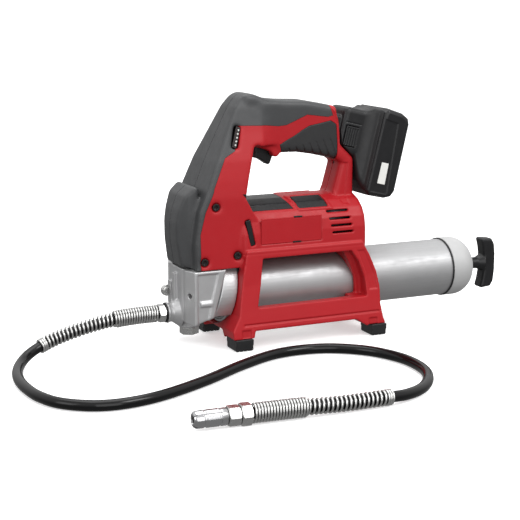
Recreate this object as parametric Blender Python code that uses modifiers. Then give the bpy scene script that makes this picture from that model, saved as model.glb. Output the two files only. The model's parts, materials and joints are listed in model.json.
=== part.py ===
"""Cordless grease gun: clamshell body on a four-footed cradle, cast pump head, steel
grease barrel, slide-on battery pack and a flexible hose that lies on the floor.

Sizes are in millimetres and become metres where the meshes are made.  +Z is up, +X runs
from the pump head to the pull handle, and the left side of the tool is -Y.
"""
import bpy
import bmesh
from math import cos, sin, pi, radians
from mathutils import Matrix, Vector

MM = 0.001
GAP = 0.3                    # clearance between touching pieces

# ---- driving dimensions -----------------------------------------------------------
BARREL_R = 28.6              # a standard cartridge barrel, 57.2 across
BARREL_WALL = 1.6
AXIS_Z = 49.7                # height of the barrel's axis
BARREL_X0, BARREL_X1 = -133.5, 117.0
BORE_R = BARREL_R + 0.5
CAP_R = 29.9
CAP_X1 = 148.5
T_HALF = 26.5                # pull handle, half its height
STEM_R = 6.0

MOTOR_Z = 106.0              # axis of motor, gearbox and crank
MOTOR_R = 18.2
PLUNGER_X = -162.0           # axis of the pump plunger and its yoke
CRANK_THROW = 5.0

HEAD_TOP = 75.8
HEAD_HALF = 34.7
BOSS_Z, BOSS_R, BOSS_X = 32.0, 9.2, -184.7

BODY_HALF = 38.0             # half-width of the motor housing
HANDLE_HALF = 17.0
WALL = 3.2
SKIN = 2.6                   # thickness of the soft overmould

FOOT_OUT, FOOT_IN, FOOT_TOP = 51.8, 28.6, 8.6
TILT = radians(13.7)         # slope of the battery's slide, down to the rear

HOSE_R = 4.75
HOSE_EXIT_X = -194.0

# ---- outlines, side view (x, z) -----------------------------------------------------
COLUMN = [(-167, 76.2), (-168, 100), (-163.5, 130), (-152.5, 156), (-145, 175), (-133, 200),
          (-121, 224), (-115, 232), (-108, 235.8), (-101, 235), (-94, 230), (-94, 190),
          (-104.5, 187.6), (-108.5, 175), (-113.5, 156), (-117, 140), (-106, 120), (-106, 76.2)]
HANDLE = [(-112, 234.5), (-101, 235), (-88, 230.2), (-70, 228), (-46, 227), (-28, 223.6),
          (-14, 220.5), (-10.2, 203.8), (-9, 184), (5.5, 169.8), (5.5, 120), (-20, 120),
          (-17, 137), (-9, 166), (-15, 170.2), (-28, 173), (-40, 175.8), (-56, 178.4),
          (-71, 178.6), (-84, 182), (-112, 182)]
TRIGGER_ARCH = [(-115, 170), (-115, 186.2), (-95, 189.5), (-88, 192.5), (-81, 192.6),
                (-76, 184.5), (-72.6, 178), (-76, 160)]
TRIGGER_CHEEK = [(-104, 193.5), (-104, 187.4), (-98.2, 185.2), (-90, 183.2), (-83.1, 180.4),
                 (-80.8, 175.2), (-76, 175), (-72.5, 179.5), (-71, 186), (-76, 195)]
TRIGGER = [(-95.6, 190.6), (-88, 192.4), (-80.5, 189), (-76.5, 184), (-76.4, 177.5),
           (-79.6, 168.6), (-81.6, 167), (-86.6, 170.4), (-90.9, 173), (-95.6, 174)]
PAD = [(-164, 77), (-176.5, 78), (-180, 102), (-180.2, 118), (-178, 131), (-173, 144.5),
       (-164, 152.5), (-150, 153), (-158, 110)]
PAD_ROOM = [(-150, 72), (-166, 72), (-171.6, 82), (-175, 102), (-175.2, 118), (-173, 129.5),
            (-168.6, 140.6), (-150, 146)]
BATTERY_SIDE = [(12.8, 139), (15.5, 134), (33, 130.2), (40, 131), (44.5, 136), (59.6, 201),
                (58.5, 207), (52, 212), (36, 217.5), (31.6, 214)]
PACK_HALF = 29.5
SOFT_FRONT = [(-190, 70), (-162.5, 72), (-163.2, 110), (-158, 130), (-141, 168), (-136, 178.5),
              (-125, 184.5), (-118.8, 206.8), (-91, 205.8), (-76, 204.2), (-68, 204.8),
              (-57.5, 209), (-46, 213.8), (-24, 210.8), (-18.5, 212), (-25.5, 232), (-40, 250),
              (-190, 250)]
SOFT_FINGER = [(-21, 207.6), (-33, 205.4), (-44, 203.5), (-51, 200), (-60, 194.6), (-68, 190.8),
               (-77, 187), (-73, 170), (-14, 164), (-13.2, 184), (-14.6, 203.5)]
FRAME = [(-119, 92), (-122.5, 76), (-130, 32), (-137.5, 19), (-136.5, FOOT_TOP + GAP),
         (-116.6, FOOT_TOP + GAP), (-114.5, 17.8), (-8, 17.8), (6.5, FOOT_TOP + GAP),
         (25, FOOT_TOP + GAP), (22, 17), (20, 30), (20.4, 46.5), (17.4, 62), (10.3, 79),
         (5.4, 88), (3, 92)]
WINDOW = [(-103, 84), (-15, 84), (-8, 72.5), (-2, 57), (-0.5, 39.5), (-110.5, 38.5), (-106, 60)]
WINDOW_MOUTH = [(-103, 84), (-9, 84), (-1.5, 72.5), (4, 57), (5.5, 39), (-110.5, 38.5),
                (-106, 60)]
HEAD = [(-174.3, HEAD_TOP), (-174.3, 26), (-170, 24.2), (-149.8, 30.6), (-137.4, HEAD_TOP)]
COLLAR = [(-137.1, HEAD_TOP), (-149.5, 30.6), (-131.3, 30.6), (-122.9, HEAD_TOP)]

# ---- outlines, front view (y, z), right half, bottom to top --------------------------
COLUMN_SIDE = [(35, 70), (35, 142), (33, 158), (30, 175), (23, 200), (17.5, 223), (11, 240)]
BODY_SIDE = [(BODY_HALF, 84.4), (BODY_HALF, 96), (37.5, 107), (35.4, 117), (30, 125.5),
             (22, 132), (12, 136), (4, 137.2)]
FRAME_SIDE = [(28.9, FOOT_TOP), (51.3, FOOT_TOP), (50, 18), (46.5, 37), (43, 60), (41.2, 80),
              (40, 92)]

# ---- motor leads, from the switch down the rear post ----------------------------------
LEADS = [(-62, 0, 196), (-57, 0, 191), (-44, 0, 187), (-28, 0, 183.2), (-14, 0, 178.4),
         (-8, 0, 171), (-7, 0, 158), (-7, 0, 130)]

# ---- body screws: x, z, length ----------------------------------------------------------
SCREWS = [(-147.5, 134.5, 50), (-159.0, 83.9, 11), (-126.0, 87.8, 11)]
SCREW_HEAD_Y = -32.2

# ---- hose route on the floor and up to the pump head, chosen by hand ------------------
HOSE_ROUTE = [(HOSE_EXIT_X, 0, 32), (-214, 0, 32), (-234, 0, 30.9), (-254, 0, 28.2),
              (-274, 0, 24), (-293, -1, 19), (-309, -4.5, 14), (-322, -12, 9.4),
              (-332.5, -26, 6), (-340, -46, 4.9), (-344, -70, HOSE_R), (-344, -95, HOSE_R),
              (-340, -120, HOSE_R), (-329, -143, HOSE_R), (-307, -160, HOSE_R),
              (-281, -164.5, HOSE_R), (-247, -157, HOSE_R), (-200, -134, HOSE_R),
              (-151, -103.5, HOSE_R), (-107, -84, HOSE_R), (-64, -86, HOSE_R),
              (-31, -109, HOSE_R), (-14, -144, HOSE_R), (-13.5, -179, HOSE_R),
              (-24, -206, HOSE_R), (-43, -228, HOSE_R), (-66, -241.5, HOSE_R + 1.1),
              (-90, -246, HOSE_R + 2.6), (-126, -246, 7.6), (-152, -244.3, 8.2),
              (-168, -243.2, 8.7), (-186, -241.9, 8.8), (-206, -240.4, 8.8)]
HOSE_POINTS = 76
GUARD_A = (118.0, 41.0)      # spring guard at the pump head: length, and its tight stretch
GUARD_B = (123.0, 46.0)      # spring guard at the coupler
GUARD_IN, GUARD_SLIM, GUARD_FAT = 5.25, 6.8, 8.3
END_HEX_LONG, COUPLER_HEX_LONG, COUPLER_LONG, COUPLER_R = 9.0, 10.0, 27.5, 7.2

MATERIALS = {                # colour, roughness, metallic
    "red_shell": ((0.48, 0.022, 0.03), 0.42, 0.0),
    "soft_grip": ((0.085, 0.085, 0.088), 0.7, 0.0),
    "black_plastic": ((0.022, 0.022, 0.024), 0.45, 0.0),
    "cast_aluminium": ((0.5, 0.5, 0.5), 0.42, 0.9),
    "cap_casting": ((0.62, 0.62, 0.62), 0.6, 0.5),
    "barrel_steel": ((0.5, 0.5, 0.5), 0.28, 1.0),
    "zinc_steel": ((0.6, 0.6, 0.6), 0.3, 1.0),
    "dark_steel": ((0.12, 0.12, 0.12), 0.4, 1.0),
    "chrome": ((0.8, 0.8, 0.8), 0.1, 1.0),
    "rubber": ((0.018, 0.018, 0.018), 0.6, 0.0),
}


# ---- shared tools -----------------------------------------------------------------
def clear_scene():
    for item in list(bpy.data.objects):
        bpy.data.objects.remove(item, do_unlink=True)


def make_collection(name):
    collection = bpy.data.collections.new(name)
    bpy.context.scene.collection.children.link(collection)
    return collection


def make_material(name):
    colour, roughness, metallic = MATERIALS[name]
    material = bpy.data.materials.get(name) or bpy.data.materials.new(name)
    material.use_nodes = True
    shader = material.node_tree.nodes["Principled BSDF"]
    shader.inputs["Base Color"].default_value = (*colour, 1)
    shader.inputs["Roughness"].default_value = roughness
    shader.inputs["Metallic"].default_value = metallic
    return material


def keep(item, name, material):
    """Make a working solid into a named part with its material."""
    item.name = name
    item.data.name = name
    item.data.materials.clear()
    item.data.materials.append(make_material(material))
    for collection in list(item.users_collection):
        collection.objects.unlink(item)
    PARTS.objects.link(item)
    item.hide_render = False
    item.display_type = "TEXTURED"
    item.data.set_sharp_from_angle(angle=radians(35))
    return item


def working(mesh, name="tool"):
    """A hidden solid, used to cut or join others."""
    item = bpy.data.objects.new(name, mesh)
    TOOLS.objects.link(item)
    item.hide_render = True
    item.display_type = "WIRE"
    return item


def from_bmesh(bm, name="tool"):
    mesh = bpy.data.meshes.new(name)
    face_out(bm)
    bm.to_mesh(mesh)
    bm.free()
    return working(mesh, name)


def face_out(bm):
    bmesh.ops.recalc_face_normals(bm, faces=bm.faces)
    if bm.calc_volume(signed=True) < 0:
        bmesh.ops.reverse_faces(bm, faces=bm.faces)


def evaluated(item):
    bpy.context.view_layer.update()
    graph = bpy.context.evaluated_depsgraph_get()
    return bpy.data.meshes.new_from_object(item.evaluated_get(graph))


def baked(item, weld=False):
    """Replace an object by the plain mesh that it evaluates to, in world space."""
    mesh = evaluated(item)
    mesh.transform(item.matrix_world)
    if weld:
        bm = bmesh.new()
        bm.from_mesh(mesh)
        bmesh.ops.remove_doubles(bm, verts=bm.verts, dist=1e-6)
        face_out(bm)
        bm.to_mesh(mesh)
        bm.free()
    bpy.data.objects.remove(item, do_unlink=True)
    return working(mesh)


def drop(*items):
    for item in items:
        bpy.data.objects.remove(item, do_unlink=True)


def combine(target, others, operation, solver="EXACT"):
    """Boolean each of the other solids into the target and bake the result."""
    for other in others:
        step = target.modifiers.new(operation.lower(), "BOOLEAN")
        step.operation = operation
        step.object = other
        step.solver = solver
        target = baked(target)
    drop(*others)
    return target


def cut(target, *others):
    return combine(target, others, "DIFFERENCE")


def join(target, *others):
    return combine(target, others, "UNION")


def meet(target, *others, solver="EXACT"):
    return combine(target, others, "INTERSECT", solver)


def duplicate(item):
    return working(item.data.copy())


def shifted(item, x=0.0, y=0.0, z=0.0, scale=(1, 1, 1)):
    item.data.transform(Matrix.Translation((x * MM, y * MM, z * MM)) @ Matrix.Diagonal((*scale, 1)))
    return item


def block(x0, x1, y0, y1, z0, z1, bevel=0.0):
    bm = bmesh.new()
    bmesh.ops.create_cube(bm, size=1)
    size = Vector(((x1 - x0), (y1 - y0), (z1 - z0))) * MM
    middle = Vector(((x0 + x1), (y0 + y1), (z0 + z1))) * MM / 2
    bm.transform(Matrix.Translation(middle) @ Matrix.Diagonal((*size, 1)))
    if bevel:
        bmesh.ops.bevel(bm, geom=bm.edges[:], offset=bevel * MM, segments=2, affect="EDGES",
                        profile=0.5)
    return from_bmesh(bm)


AXES = {"X": Matrix.Rotation(pi / 2, 4, "Y"), "Y": Matrix.Rotation(-pi / 2, 4, "X"),
        "Z": Matrix.Identity(4)}


def rod(start, length, radius, axis="X", sides=32, end_radius=None):
    """A cylinder or cone from a start point along +axis; six sides make a hex."""
    bm = bmesh.new()
    top = radius if end_radius is None else end_radius
    bmesh.ops.create_cone(bm, cap_ends=True, segments=sides, radius1=radius * MM,
                          radius2=top * MM, depth=length * MM)
    place = Matrix.Translation(Vector(start) * MM) @ AXES[axis]
    bm.transform(place @ Matrix.Translation((0, 0, length * MM / 2)))
    return from_bmesh(bm)


def turned(profile, centre_z, sides=48):
    """Turn a closed (x, radius) profile about an axis along X at the given height."""
    mesh = bpy.data.meshes.new("turned")
    points = [(x * MM, 0, r * MM) for x, r in profile]
    count = len(points)
    mesh.from_pydata(points, [(i, (i + 1) % count) for i in range(count)], [])
    item = working(mesh)
    item.location.z = centre_z * MM
    screw = item.modifiers.new("turn", "SCREW")
    screw.axis = "X"
    screw.steps = screw.render_steps = sides
    screw.merge_threshold = 0.00001
    screw.use_merge_vertices = True
    return baked(item, weld=True)


def prism(outline, low, high, view="side", bevel=0.0, bevel_steps=1):
    """Extrude an outline: side view (x, z) along Y, front view (y, z) along X, top (x, y)."""
    curve = bpy.data.curves.new("outline", "CURVE")
    curve.dimensions = "2D"
    curve.fill_mode = "BOTH"
    curve.extrude = (abs(high - low) / 2 - bevel) * MM
    curve.bevel_depth = bevel * MM
    curve.bevel_resolution = bevel_steps
    curve.offset = -bevel * MM
    spline = curve.splines.new("POLY")
    spline.points.add(len(outline) - 1)
    for point, (u, v) in zip(spline.points, outline):
        point.co = (u * MM, v * MM, 0, 1)
    spline.use_cyclic_u = True
    item = working(curve, "outline")
    middle = (low + high) / 2 * MM
    if view == "side":
        item.rotation_euler = (pi / 2, 0, 0)
        item.location = (0, middle, 0)
    elif view == "front":
        item.rotation_euler = (pi / 2, 0, pi / 2)
        item.location = (middle, 0, 0)
    else:
        item.location = (0, 0, middle)
    return baked(item, weld=True)


def both_sides(half):
    """A front-view outline from its right half."""
    return half + [(-y, z) for y, z in reversed(half)]


def grown(outline, distance):
    """Offset a closed outline outward (or inward, when negative) by mitred corners."""
    area = sum(a[0] * b[1] - b[0] * a[1] for a, b in zip(outline, outline[1:] + outline[:1]))
    side = 1 if area > 0 else -1
    result = []
    for i, here in enumerate(outline):
        before, after = outline[i - 1], outline[(i + 1) % len(outline)]
        u, v = Vector(here) - Vector(before), Vector(after) - Vector(here)
        n1, n2 = Vector((u.y, -u.x)).normalized(), Vector((v.y, -v.x)).normalized()
        mitre = (n1 + n2) / max(1 + n1.dot(n2), 0.3)
        result.append(tuple(Vector(here) + mitre * distance * side))
    return result


def mirror_copy(item, name, material):
    """The same piece for the other side of the tool."""
    bm = bmesh.new()
    bm.from_mesh(item.data)
    bm.transform(Matrix.Diagonal((1, -1, 1, 1)))
    bmesh.ops.reverse_faces(bm, faces=bm.faces)
    return keep(from_bmesh(bm), name, material)


def smooth_route(route, count):
    """Evenly spaced points on a Catmull-Rom curve through the route's own points."""
    nodes = [Vector(p) for p in route]
    nodes = [nodes[0] * 2 - nodes[1]] + nodes + [nodes[-1] * 2 - nodes[-2]]
    fine = []
    for a, b, c, d in zip(nodes, nodes[1:], nodes[2:], nodes[3:]):
        for step in range(24):
            t = step / 24
            fine.append(0.5 * (2 * b + (c - a) * t + (2 * a - 5 * b + 4 * c - d) * t * t
                               + (3 * b - a - 3 * c + d) * t ** 3))
    fine.append(nodes[-2])
    total = [0.0]
    for p, q in zip(fine, fine[1:]):
        total.append(total[-1] + (q - p).length)
    points, index = [], 0
    for k in range(count):
        goal = total[-1] * k / (count - 1)
        while index < len(fine) - 2 and total[index + 1] < goal:
            index += 1
        share = (goal - total[index]) / (total[index + 1] - total[index])
        points.append(fine[index].lerp(fine[index + 1], min(share, 1)))
    return points


def route_length(points):
    return sum((q - p).length for p, q in zip(points, points[1:]))


def tube(points, radius, steps=2, caps=True, radii=None):
    curve = bpy.data.curves.new("tube", "CURVE")
    curve.dimensions = "3D"
    curve.bevel_depth = radius * MM
    curve.bevel_resolution = steps
    curve.use_fill_caps = caps
    spline = curve.splines.new("POLY")
    spline.points.add(len(points) - 1)
    for index, (point, place) in enumerate(zip(spline.points, points)):
        point.co = (*(Vector(place) * MM), 1)
        point.radius = radii[index] / radius if radii else 1
    return baked(working(curve), weld=caps)


def coil(start, end, radius, wire, turns, axis="X", per_turn=12, centre=(0, 0)):
    """A round-wire spring as one tube along a helix."""
    points = []
    count = int(turns * per_turn)
    for k in range(count + 1):
        angle = 2 * pi * k / per_turn
        along = start + (end - start) * k / count
        a, b = centre[0] + radius * cos(angle), centre[1] + radius * sin(angle)
        points.append((along, a, b) if axis == "X" else (a, b, along))
    return tube(points, wire, steps=1)


# ---- housing halves ------------------------------------------------------------------
def envelope():
    """The outer form of the upper body: column, handle loop and rear post."""
    column = prism(COLUMN, -36.3, 36.3)
    column = meet(column, prism(both_sides(COLUMN_SIDE), -190, -90, view="front", bevel=4))
    handle = prism(HANDLE, -HANDLE_HALF, HANDLE_HALF, bevel=5, bevel_steps=3)
    handle = cut(handle, prism(TRIGGER_ARCH, -30, 30))
    handle = join(handle, prism(TRIGGER_CHEEK, -15.5, 15.5))
    pad_top = [(-160, 24), (-170, 23), (-182, 16), (-182, -16), (-170, -23), (-160, -24)]
    pad = meet(prism(PAD, -25, 25), prism(pad_top, 70, 160, view="top", bevel=2))
    return join(column, handle, pad)


def motor_cavity():
    """Room for motor and gearbox, left standing on ribs that clasp them."""
    room = [(y, z) for y, z in grown(both_sides(BODY_SIDE), -WALL)]
    room = [(y, max(z, 87)) for y, z in room]
    spaces = [prism(room, x0, x1, view="front") for x0, x1 in ((-104, -93), (-89, -55), (-51, 4))]
    spaces.append(rod((-120, 0, MOTOR_Z), 124, MOTOR_R + 0.4))
    return spaces


def column_cavity():
    inner = grown(COLUMN, -5.2)
    sides = [(y - 4.5, z) for y, z in COLUMN_SIDE]
    room = meet(prism(inner, -40, 40), prism(both_sides(sides), -190, -90, view="front"))
    front = prism(PAD_ROOM, -17, 17)
    floor = block(-162.5, -111, -29, 29, 70, 92)
    return [room, front, floor]


def handle_cavity():
    """Switch bay at the trigger, the battery socket, and the wire run down the rear post."""
    switch = block(-99, -58, -10.5, 10.5, 186.5, 222)
    socket = battery_prism(-54.5, 20, 13.4, 183.6, 212.4)
    wires = tube(smooth_route(LEADS, 15), 2.4, steps=1)
    return [switch, socket, wires, trigger_bay()]


def trigger_bay():
    return block(-96.5, -73, -6.4, 6.4, 165, 200)


def battery_prism(along0, along1, half, z0, z1, bevel=0.0):
    """A box whose long side lies along the battery's slide, through the point (-10, 201)."""
    bm = bmesh.new()
    bmesh.ops.create_cube(bm, size=1)
    size = Vector((along1 - along0, 2 * half, z1 - z0)) * MM
    middle = Vector(((along0 + along1) / 2, 0, (z0 + z1) / 2 - 201)) * MM
    bm.transform(Matrix.Translation(middle) @ Matrix.Diagonal((*size, 1)))
    if bevel:
        bmesh.ops.bevel(bm, geom=bm.edges[:], offset=bevel * MM, segments=3, affect="EDGES",
                        profile=0.5)
    bm.transform(Matrix.Translation((-10 * MM, 0, 201 * MM)) @ Matrix.Rotation(TILT, 4, "Y"))
    return from_bmesh(bm)


def cradle():
    """The frame that clasps the barrel and stands on four feet."""
    sides = meet(prism(FRAME, -53, 53), prism(both_sides(FRAME_SIDE), -145, 30, view="front"))
    sides = join(sides, prism(both_sides(BODY_SIDE), -124, 9.5, view="front", bevel=6,
                              bevel_steps=3))
    under = block(-111.5, -9, -36.5, 36.5, 0, 40)
    arch = [(-28.6, 0), (-22, 15.5), (22, 15.5), (28.6, 0)]
    mouths = [prism(WINDOW_MOUTH, side * 33, side * 60) for side in (-1, 1)]
    return cut(sides, prism(WINDOW, -60, 60), under, prism(arch, -150, 40, view="front"), *mouths)


def soft_pieces(shape):
    """The soft skin on column front and handle top, and the ribbed one under the fingers."""
    pieces = []
    less = 1 - GAP / SKIN
    for region, (x, z) in ((SOFT_FRONT, (SKIN, -SKIN)), (SOFT_FINGER, (0, SKIN))):
        deep = shifted(duplicate(shape), x, 0, z, scale=(1, 0.86, 1))
        pocket = cut(prism(region, -50, 50), duplicate(deep))
        core = shifted(duplicate(shape), x * less, 0, z * less, scale=(1, 0.88, 1))
        skin = meet(duplicate(shape), prism(grown(region, -GAP), -50, 50), solver="MANIFOLD")
        pieces.append((pocket, cut(skin, core, deep)))
    return pieces


def side_slots():
    """Cooling slots behind the motor and the tall slot ahead of the side panel."""
    tools = []
    for row in range(4):
        z = 122.3 - 6.6 * row
        x = -32.5 + 1.2 * row
        for side in (-1, 1):
            tools.append(block(x, x + 23.5, side * 36 - 6, side * 36 + 6, z - 1.1, z + 1.1))
    for side in (-1, 1):
        tall = block(-2.6, 2.6, side * 37 - 5, side * 37 + 5, -12.4, 12.4)
        tall.data.transform(Matrix.Translation((-114 * MM, 0, 108.5 * MM))
                            @ Matrix.Rotation(-radians(12), 4, "Y"))
        tools.append(tall)
    return tools


def body_patch(x0, x1, slant, depth, low_z, grow=0.0):
    """A curved strip of the motor housing's skin, above low_z, with slanted ends.

    With grow it is the pocket for that strip, and reaches out past the skin.
    """
    reach = 2.0 if grow else 0.0
    outer = both_sides(BODY_SIDE)
    ring = cut(prism(grown(outer, reach), x0 - 30, x1 + 30, view="front"),
               prism(grown(outer, -depth), x0 - 40, x1 + 40, view="front"))
    low, high = low_z - grow, 145.0
    region = [(x0 - grow, high), (x1 + grow, high), (x1 + slant + grow, low),
              (x0 + slant - grow, low)]
    return meet(ring, prism(region, -45, 45))


def left_half(solid):
    return meet(solid, block(-260, 120, -80, -GAP / 2, -10, 300), solver="MANIFOLD")


def make_housing():
    """Both clamshell halves with the skins, covers and panels let into them."""
    shape = envelope()
    (front_pocket, front_skin), (finger_pocket, finger_skin) = soft_pieces(shape)
    body = join(shape, cradle())
    body = cut(body, *motor_cavity(), *column_cavity(), *handle_cavity())
    body = join(body, rod((-147.5, -31, 134.5), 62, 5, axis="Y", sides=20))
    body = cut(body, front_pocket, finger_pocket, *side_slots(),
               body_patch(-121.5, -77, 11.5, 2.6 + GAP, 127, grow=GAP),
               rod((-147.5, -28, 134.5), 56, 2.1, axis="Y", sides=16),
               rod((-150, 0, AXIS_Z), 26.6, 32.0, sides=64),
               rod((-140, 0, AXIS_Z), 180, BORE_R, sides=64),
               rod((-91.5, -9.5, 187), 19, 1.7, axis="Y", sides=16),
               rating_plate(-1, GAP), rating_plate(1, GAP),
               block(-104, -40, -42, -36.6, 96.3, 121.7), block(-104, -40, 36.6, 42, 96.3, 121.7))
    left = left_half(body)
    mirror_copy(left, "right_housing", "red_shell")
    for x, z, length in SCREWS:
        left = cut(left, rod((x, -42, z), 42 + SCREW_HEAD_Y, 4.2, axis="Y", sides=20),
                   rod((x, -42, z), 15, 2.25, axis="Y", sides=16))
    left = cut(left, gauge_block(GAP))
    keep(left, "left_housing", "red_shell")
    skins = ((front_skin, "grip_skin"), (finger_skin, "finger_grip"))
    for solid, name in skins:
        half = left_half(cut(solid, trigger_bay()))
        mirror_copy(half, "right_" + name, "soft_grip")
        if name == "grip_skin":
            half = cut(half, gauge_block(GAP))
        keep(half, "left_" + name, "soft_grip")


def rating_plate(side, extra):
    """A blank plate on the shoulder of the motor housing."""
    low, high = sorted((side * (12 - extra), side * 36))
    return meet(body_patch(-64, -33, 4, 2.0 + extra, 126.5, grow=extra),
                block(-90, 0, low, high, 120, 150), solver="MANIFOLD")


def gauge_block(extra):
    """The charge gauge's slanted body, let into the left side of the column's head."""
    solid = block(-2.8 - extra, 2.8 + extra, -30, -17.5 + extra, -10 - extra, 10 + extra)
    solid.data.transform(Matrix.Translation((-122.6 * MM, 0, 196.6 * MM))
                         @ Matrix.Rotation(radians(14), 4, "Y"))
    return solid


def make_covers():
    keep(body_patch(-121.5, -77, 11.5, 2.6, 127), "motor_cover", "soft_grip")
    gauge = meet(gauge_block(0), shifted(envelope(), scale=(1, 0.985, 1)))
    keep(gauge, "fuel_gauge", "black_plastic")
    for side, name in ((-1, "left"), (1, "right")):
        panel = block(-103.5, -40.5, side * 37.2 - 0.6, side * 37.2 + 0.6, 96.8, 121.2, bevel=0.4)
        panel = cut(panel, *[block(x, x + 9, side * 38 - 3, side * 38 + 3, z, z + 1.4)
                             for x, z in ((-70, 120.2), (-71, 96.4))])
        keep(panel, name + "_side_panel", "red_shell")
        keep(rating_plate(side, 0), name + "_rating_plate", "black_plastic")
    for number, (x, z, length) in enumerate(SCREWS, 1):
        head = rod((x, SCREW_HEAD_Y - 2.4, z), 2.2, 3.5, axis="Y", sides=20)
        screw = join(head, rod((x, SCREW_HEAD_Y - 0.6, z), length, 1.8, axis="Y", sides=12))
        socket = rod((x, SCREW_HEAD_Y - 4, z), 3.2, 1.7, axis="Y", sides=6)
        keep(cut(screw, socket), "body_screw_%d" % number, "dark_steel")


def make_feet():
    for end, (x0, x1) in (("front", (-135.5, -117.6)), ("rear", (8.2, 24.4))):
        for side, name in ((-1, "left"), (1, "right")):
            low, high = sorted((side * FOOT_IN, side * FOOT_OUT))
            foot = block(x0, x1, low, high, 0, FOOT_TOP, bevel=1.5)
            keep(foot, "%s_%s_foot" % (name, end), "rubber")


# ---- pump head -----------------------------------------------------------------------
def chamfer_hole():
    """The bleed hole, square to the head's left chamfer."""
    hole = rod((-3, 0, 0), 11, 2.5, sides=20)
    turn = Matrix.Rotation(radians(21.5), 4, "Z")
    hole.data.transform(Matrix.Translation((-173.0 * MM, -28.3 * MM, 52.3 * MM)) @ turn)
    return hole


def make_pump_head():
    plan = [(-174.3, -13), (-174.3, 13), (-173, 15), (-173, 20), (-174.3, 22), (-169.3, HEAD_HALF),
            (-110, HEAD_HALF), (-110, -HEAD_HALF), (-169.3, -HEAD_HALF), (-174.3, -22),
            (-173, -20), (-173, -15)]
    head = meet(prism(HEAD, -HEAD_HALF, HEAD_HALF, bevel=1.2), prism(plan, 10, 90, view="top"))
    cheeks = [block(-160, -121, low, low + 8, 76.1, 91.4) for low in (-28, 20)]
    cheeks += [block(-160, -142, low, low + 8, 70, 80) for low in (-28, 20)]
    head = join(head, rod((BOSS_X, 0, BOSS_Z), 12, BOSS_R),
                rod((-178.5, 0, BOSS_Z), 6.8, BOSS_R + 0.2, end_radius=11.8),
                rod((PLUNGER_X, 0, 17), 18.9, 10.5, axis="Z", sides=24), *cheeks)
    head = cut(head, rod((PLUNGER_X, 0, 34), 60, 4.4, axis="Z", sides=24),
               rod((PLUNGER_X, 0, 14), 21, 7.0, axis="Z", sides=24),
               rod((-173.5, 0, BOSS_Z), 14, 2.5, sides=20),
               rod((-190, 0, BOSS_Z), 16.5, 4.3, sides=24),
               rod((-166, 0, AXIS_Z), 40, 3.6, sides=20), chamfer_hole(),
               rod((-134.2, 0, AXIS_Z), 20, 32.0, sides=64),
               *[rod((x, -30, z), 12, 2.1, axis="Y", sides=16) for x, z, _ in SCREWS[1:]])
    keep(head, "pump_head", "cast_aluminium")


def make_head_fittings():
    sleeve = rod((-133.9, 0, AXIS_Z), 10.0, 31.5, sides=64)
    band = meet(prism(COLLAR, -36, 36), rod((-160, 0, AXIS_Z), 50, 35.4, sides=64))
    collar = cut(join(sleeve, band), rod((-160, 0, AXIS_Z), 60, BARREL_R + 0.35, sides=64))
    keep(collar, "barrel_collar", "cast_aluminium")
    plug = join(rod((PLUNGER_X, 0, 9.7), 7.0, 9.4, axis="Z", sides=6),
                rod((PLUNGER_X, 0, 16), 17.4, 6.6, axis="Z", sides=24))
    keep(plug, "pump_bore_plug", "zinc_steel")
    eye = turned_ring(5.3, 2.8, 3.6)
    eye.data.transform(Matrix.Translation((-179.9 * MM, 12 * MM, 50.6 * MM)))
    neck = rod((-176.0, 12, 50.6), 1.5, 2.4, sides=16)
    keep(join(eye, neck), "strap_eye", "zinc_steel")
    keep(sphere((-175.95, 0, BOSS_Z), 3.3), "check_ball", "zinc_steel")
    spring = coil(-184.4, -179.9, 3.1, 0.4, 3, per_turn=8, centre=(0, BOSS_Z))
    keep(spring, "check_spring", "zinc_steel")


def turned_ring(outer, inner, thick):
    """A flat ring in the XZ plane, centred on the origin."""
    ring = rod((0, -thick / 2, 0), thick, outer, axis="Y", sides=28)
    return cut(ring, rod((0, -thick, 0), 2 * thick, inner, axis="Y", sides=28))


def sphere(centre, radius):
    bm = bmesh.new()
    bmesh.ops.create_uvsphere(bm, u_segments=12, v_segments=8, radius=radius * MM)
    bm.transform(Matrix.Translation(Vector(centre) * MM))
    return from_bmesh(bm)


# ---- drive: motor, gearbox, crank, yoke and plunger -------------------------------------
def make_drive():
    can = rod((-66, 0, MOTOR_Z), 57, MOTOR_R, sides=40)
    keep(cut(can, rod((-70, 0, MOTOR_Z), 62, 1.9, sides=20)), "motor_can", "zinc_steel")
    shaft = join(rod((-78, 0, MOTOR_Z), 76, 1.6, sides=16),
                 rod((-77, 0, MOTOR_Z), 8, 4.0, sides=12))
    keep(shaft, "motor_shaft", "dark_steel")
    case = rod((-128, 0, MOTOR_Z), 61.6, MOTOR_R, sides=40)
    case = cut(case, rod((-124, 0, MOTOR_Z), 62, 15.4, sides=32),
               rod((-130, 0, MOTOR_Z), 10, 5.4, sides=24))
    keep(case, "gearbox_case", "zinc_steel")
    bearing = cut(rod((-146, 0, MOTOR_Z), 8, 11.5, sides=32),
                  rod((-148, 0, MOTOR_Z), 12, 5.4, sides=24))
    keep(bearing, "crank_bearing", "zinc_steel")
    mount = cut(block(-147, -137.8, -19.7, 19.7, 76.1, 121), rod((-150, 0, MOTOR_Z), 16, 11.8))
    keep(mount, "bearing_block", "cast_aluminium")
    crank = join(rod((-158.4, 0, MOTOR_Z), 5, 9.0, sides=32),
                 rod((-154, 0, MOTOR_Z), 56, 5.0, sides=24),
                 rod((-166, 0, MOTOR_Z + CRANK_THROW), 8, 2.4, sides=16))
    keep(crank, "crankshaft", "dark_steel")
    yoke = cut(block(-164.6, -159.4, -13, 13, 89, 123, bevel=1),
               block(-170, -150, -9.2, 9.2, MOTOR_Z - 13, MOTOR_Z + 13))
    keep(yoke, "plunger_yoke", "dark_steel")
    keep(rod((PLUNGER_X, 0, 44), 44.7, 4.0, axis="Z", sides=24), "pump_plunger", "zinc_steel")


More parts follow.
